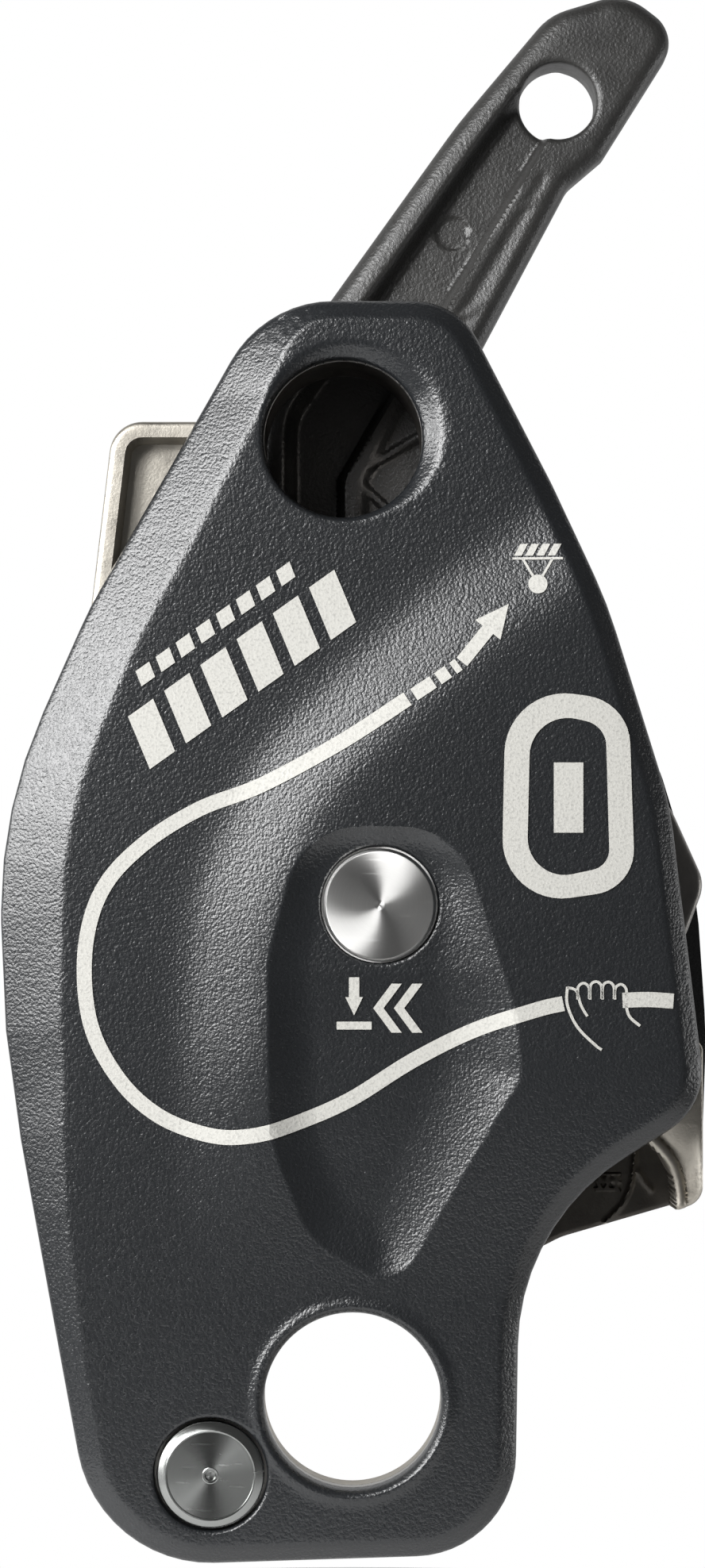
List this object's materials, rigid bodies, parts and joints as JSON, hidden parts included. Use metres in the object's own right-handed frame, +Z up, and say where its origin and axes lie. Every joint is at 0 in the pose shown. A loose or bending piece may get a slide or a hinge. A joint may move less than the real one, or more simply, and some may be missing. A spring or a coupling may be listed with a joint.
{
  "type": "rope descender",
  "caption": "Hand-held self-braking rope descender: hinged side plate over a cast rope channel, rope-pinching cam, folding handle and round lock button.",
  "frame": {"origin": "centre of the connector hole, halfway through its wall", "axes": "+Z up the device towards the handle's tip, +X to the right seen from the front, +Y into depth, away from the side plate's moulded face"},
  "size_m": [0.0911, 0.0412, 0.2031],
  "materials": {
    "cover_moulding": "dark slate moulding with a fine leather grain and a satin sheen",
    "black_moulding": "black fine-grained moulding",
    "cast_frame": "bead-blasted casting, warm grey",
    "black_casting": "black satin coated casting",
    "plate_steel": "blanked and tumbled",
    "cam_steel": "investment cast and blasted",
    "turned_steel": "fine turned rings",
    "dark_steel": "blackened, polished by use",
    "screw_steel": "plain stainless",
    "spring_steel": "drawn wire",
    "bronze": "sintered bronze",
    "cover_print": "off-white printed signs that follow the grain"
  },
  "bodies": {
    "frame": {"frame_casting": "cast_frame", "channel_wall": "cast_frame", "frame_tongue": "cast_frame", "upper_boss": "cast_frame", "brake_shoulder": "cast_frame", "frame_bush": "bronze", "upper_sleeve": "dark_steel", "brake_block": "cam_steel", "brake_block_pins": "turned_steel", "rope_guide_pin": "turned_steel", "pivot_pin": "turned_steel", "pivot_washer": "turned_steel", "rear_cover": "black_moulding", "rear_cover_screws": "screw_steel", "detent_plate": "dark_steel", "detent_plate_screws": "screw_steel", "stop_pin": "turned_steel"},
    "side_plate": {"side_plate": "plate_steel", "side_plate_cover": "cover_moulding", "cover_rivets": "screw_steel", "pivot_bush": "bronze", "button_spring": "spring_steel"},
    "lock_button": {"lock_button": "turned_steel"},
    "handle": {"handle": "black_casting", "cam_axle": "turned_steel", "drive_pin": "turned_steel", "detent_ball": "turned_steel", "detent_spring": "spring_steel", "hub_washer": "screw_steel", "hub_screw": "screw_steel", "plunger_spring": "spring_steel"},
    "cam": {"cam": "cam_steel", "cam_bush": "bronze", "cam_spring": "spring_steel"},
    "lock_plunger": {"lock_plunger": "turned_steel"}
  },
  "joints": [
    {"name": "side_plate_swing", "type": "hinge", "parent": "frame", "child": "side_plate", "pos_m": [-0.0179, 0, -0.0092], "axis": [0, -1, 0], "range_deg": [0, 95]},
    {"name": "button_press", "type": "slide", "parent": "side_plate", "child": "lock_button", "axis": [0, 1, 0], "range_m": [0, 0.002], "stiffness_N_per_m": 3000, "springref_m": -0.002, "deforming": ["button_spring"]},
    {"name": "handle_turn", "type": "hinge", "parent": "frame", "child": "handle", "pos_m": [0.0034, 0, 0.0627], "axis": [0, -1, 0], "range_deg": [-35, 115]},
    {"name": "cam_turn", "type": "hinge", "parent": "frame", "child": "cam", "pos_m": [0.0034, 0, 0.0627], "axis": [0, -1, 0], "range_deg": [-5.3, 17.3]},
    {"name": "plunger_slide", "type": "slide", "parent": "handle", "child": "lock_plunger", "axis": [0, 1, 0], "range_m": [0, 0.002], "deforming": ["plunger_spring"]}
  ],
  "couplings": [
    {"joint": "cam_turn", "follows": "handle_turn", "ratio": 0.15},
    {"joint": "plunger_slide", "follows": "button_press", "ratio": 1}
  ]
}
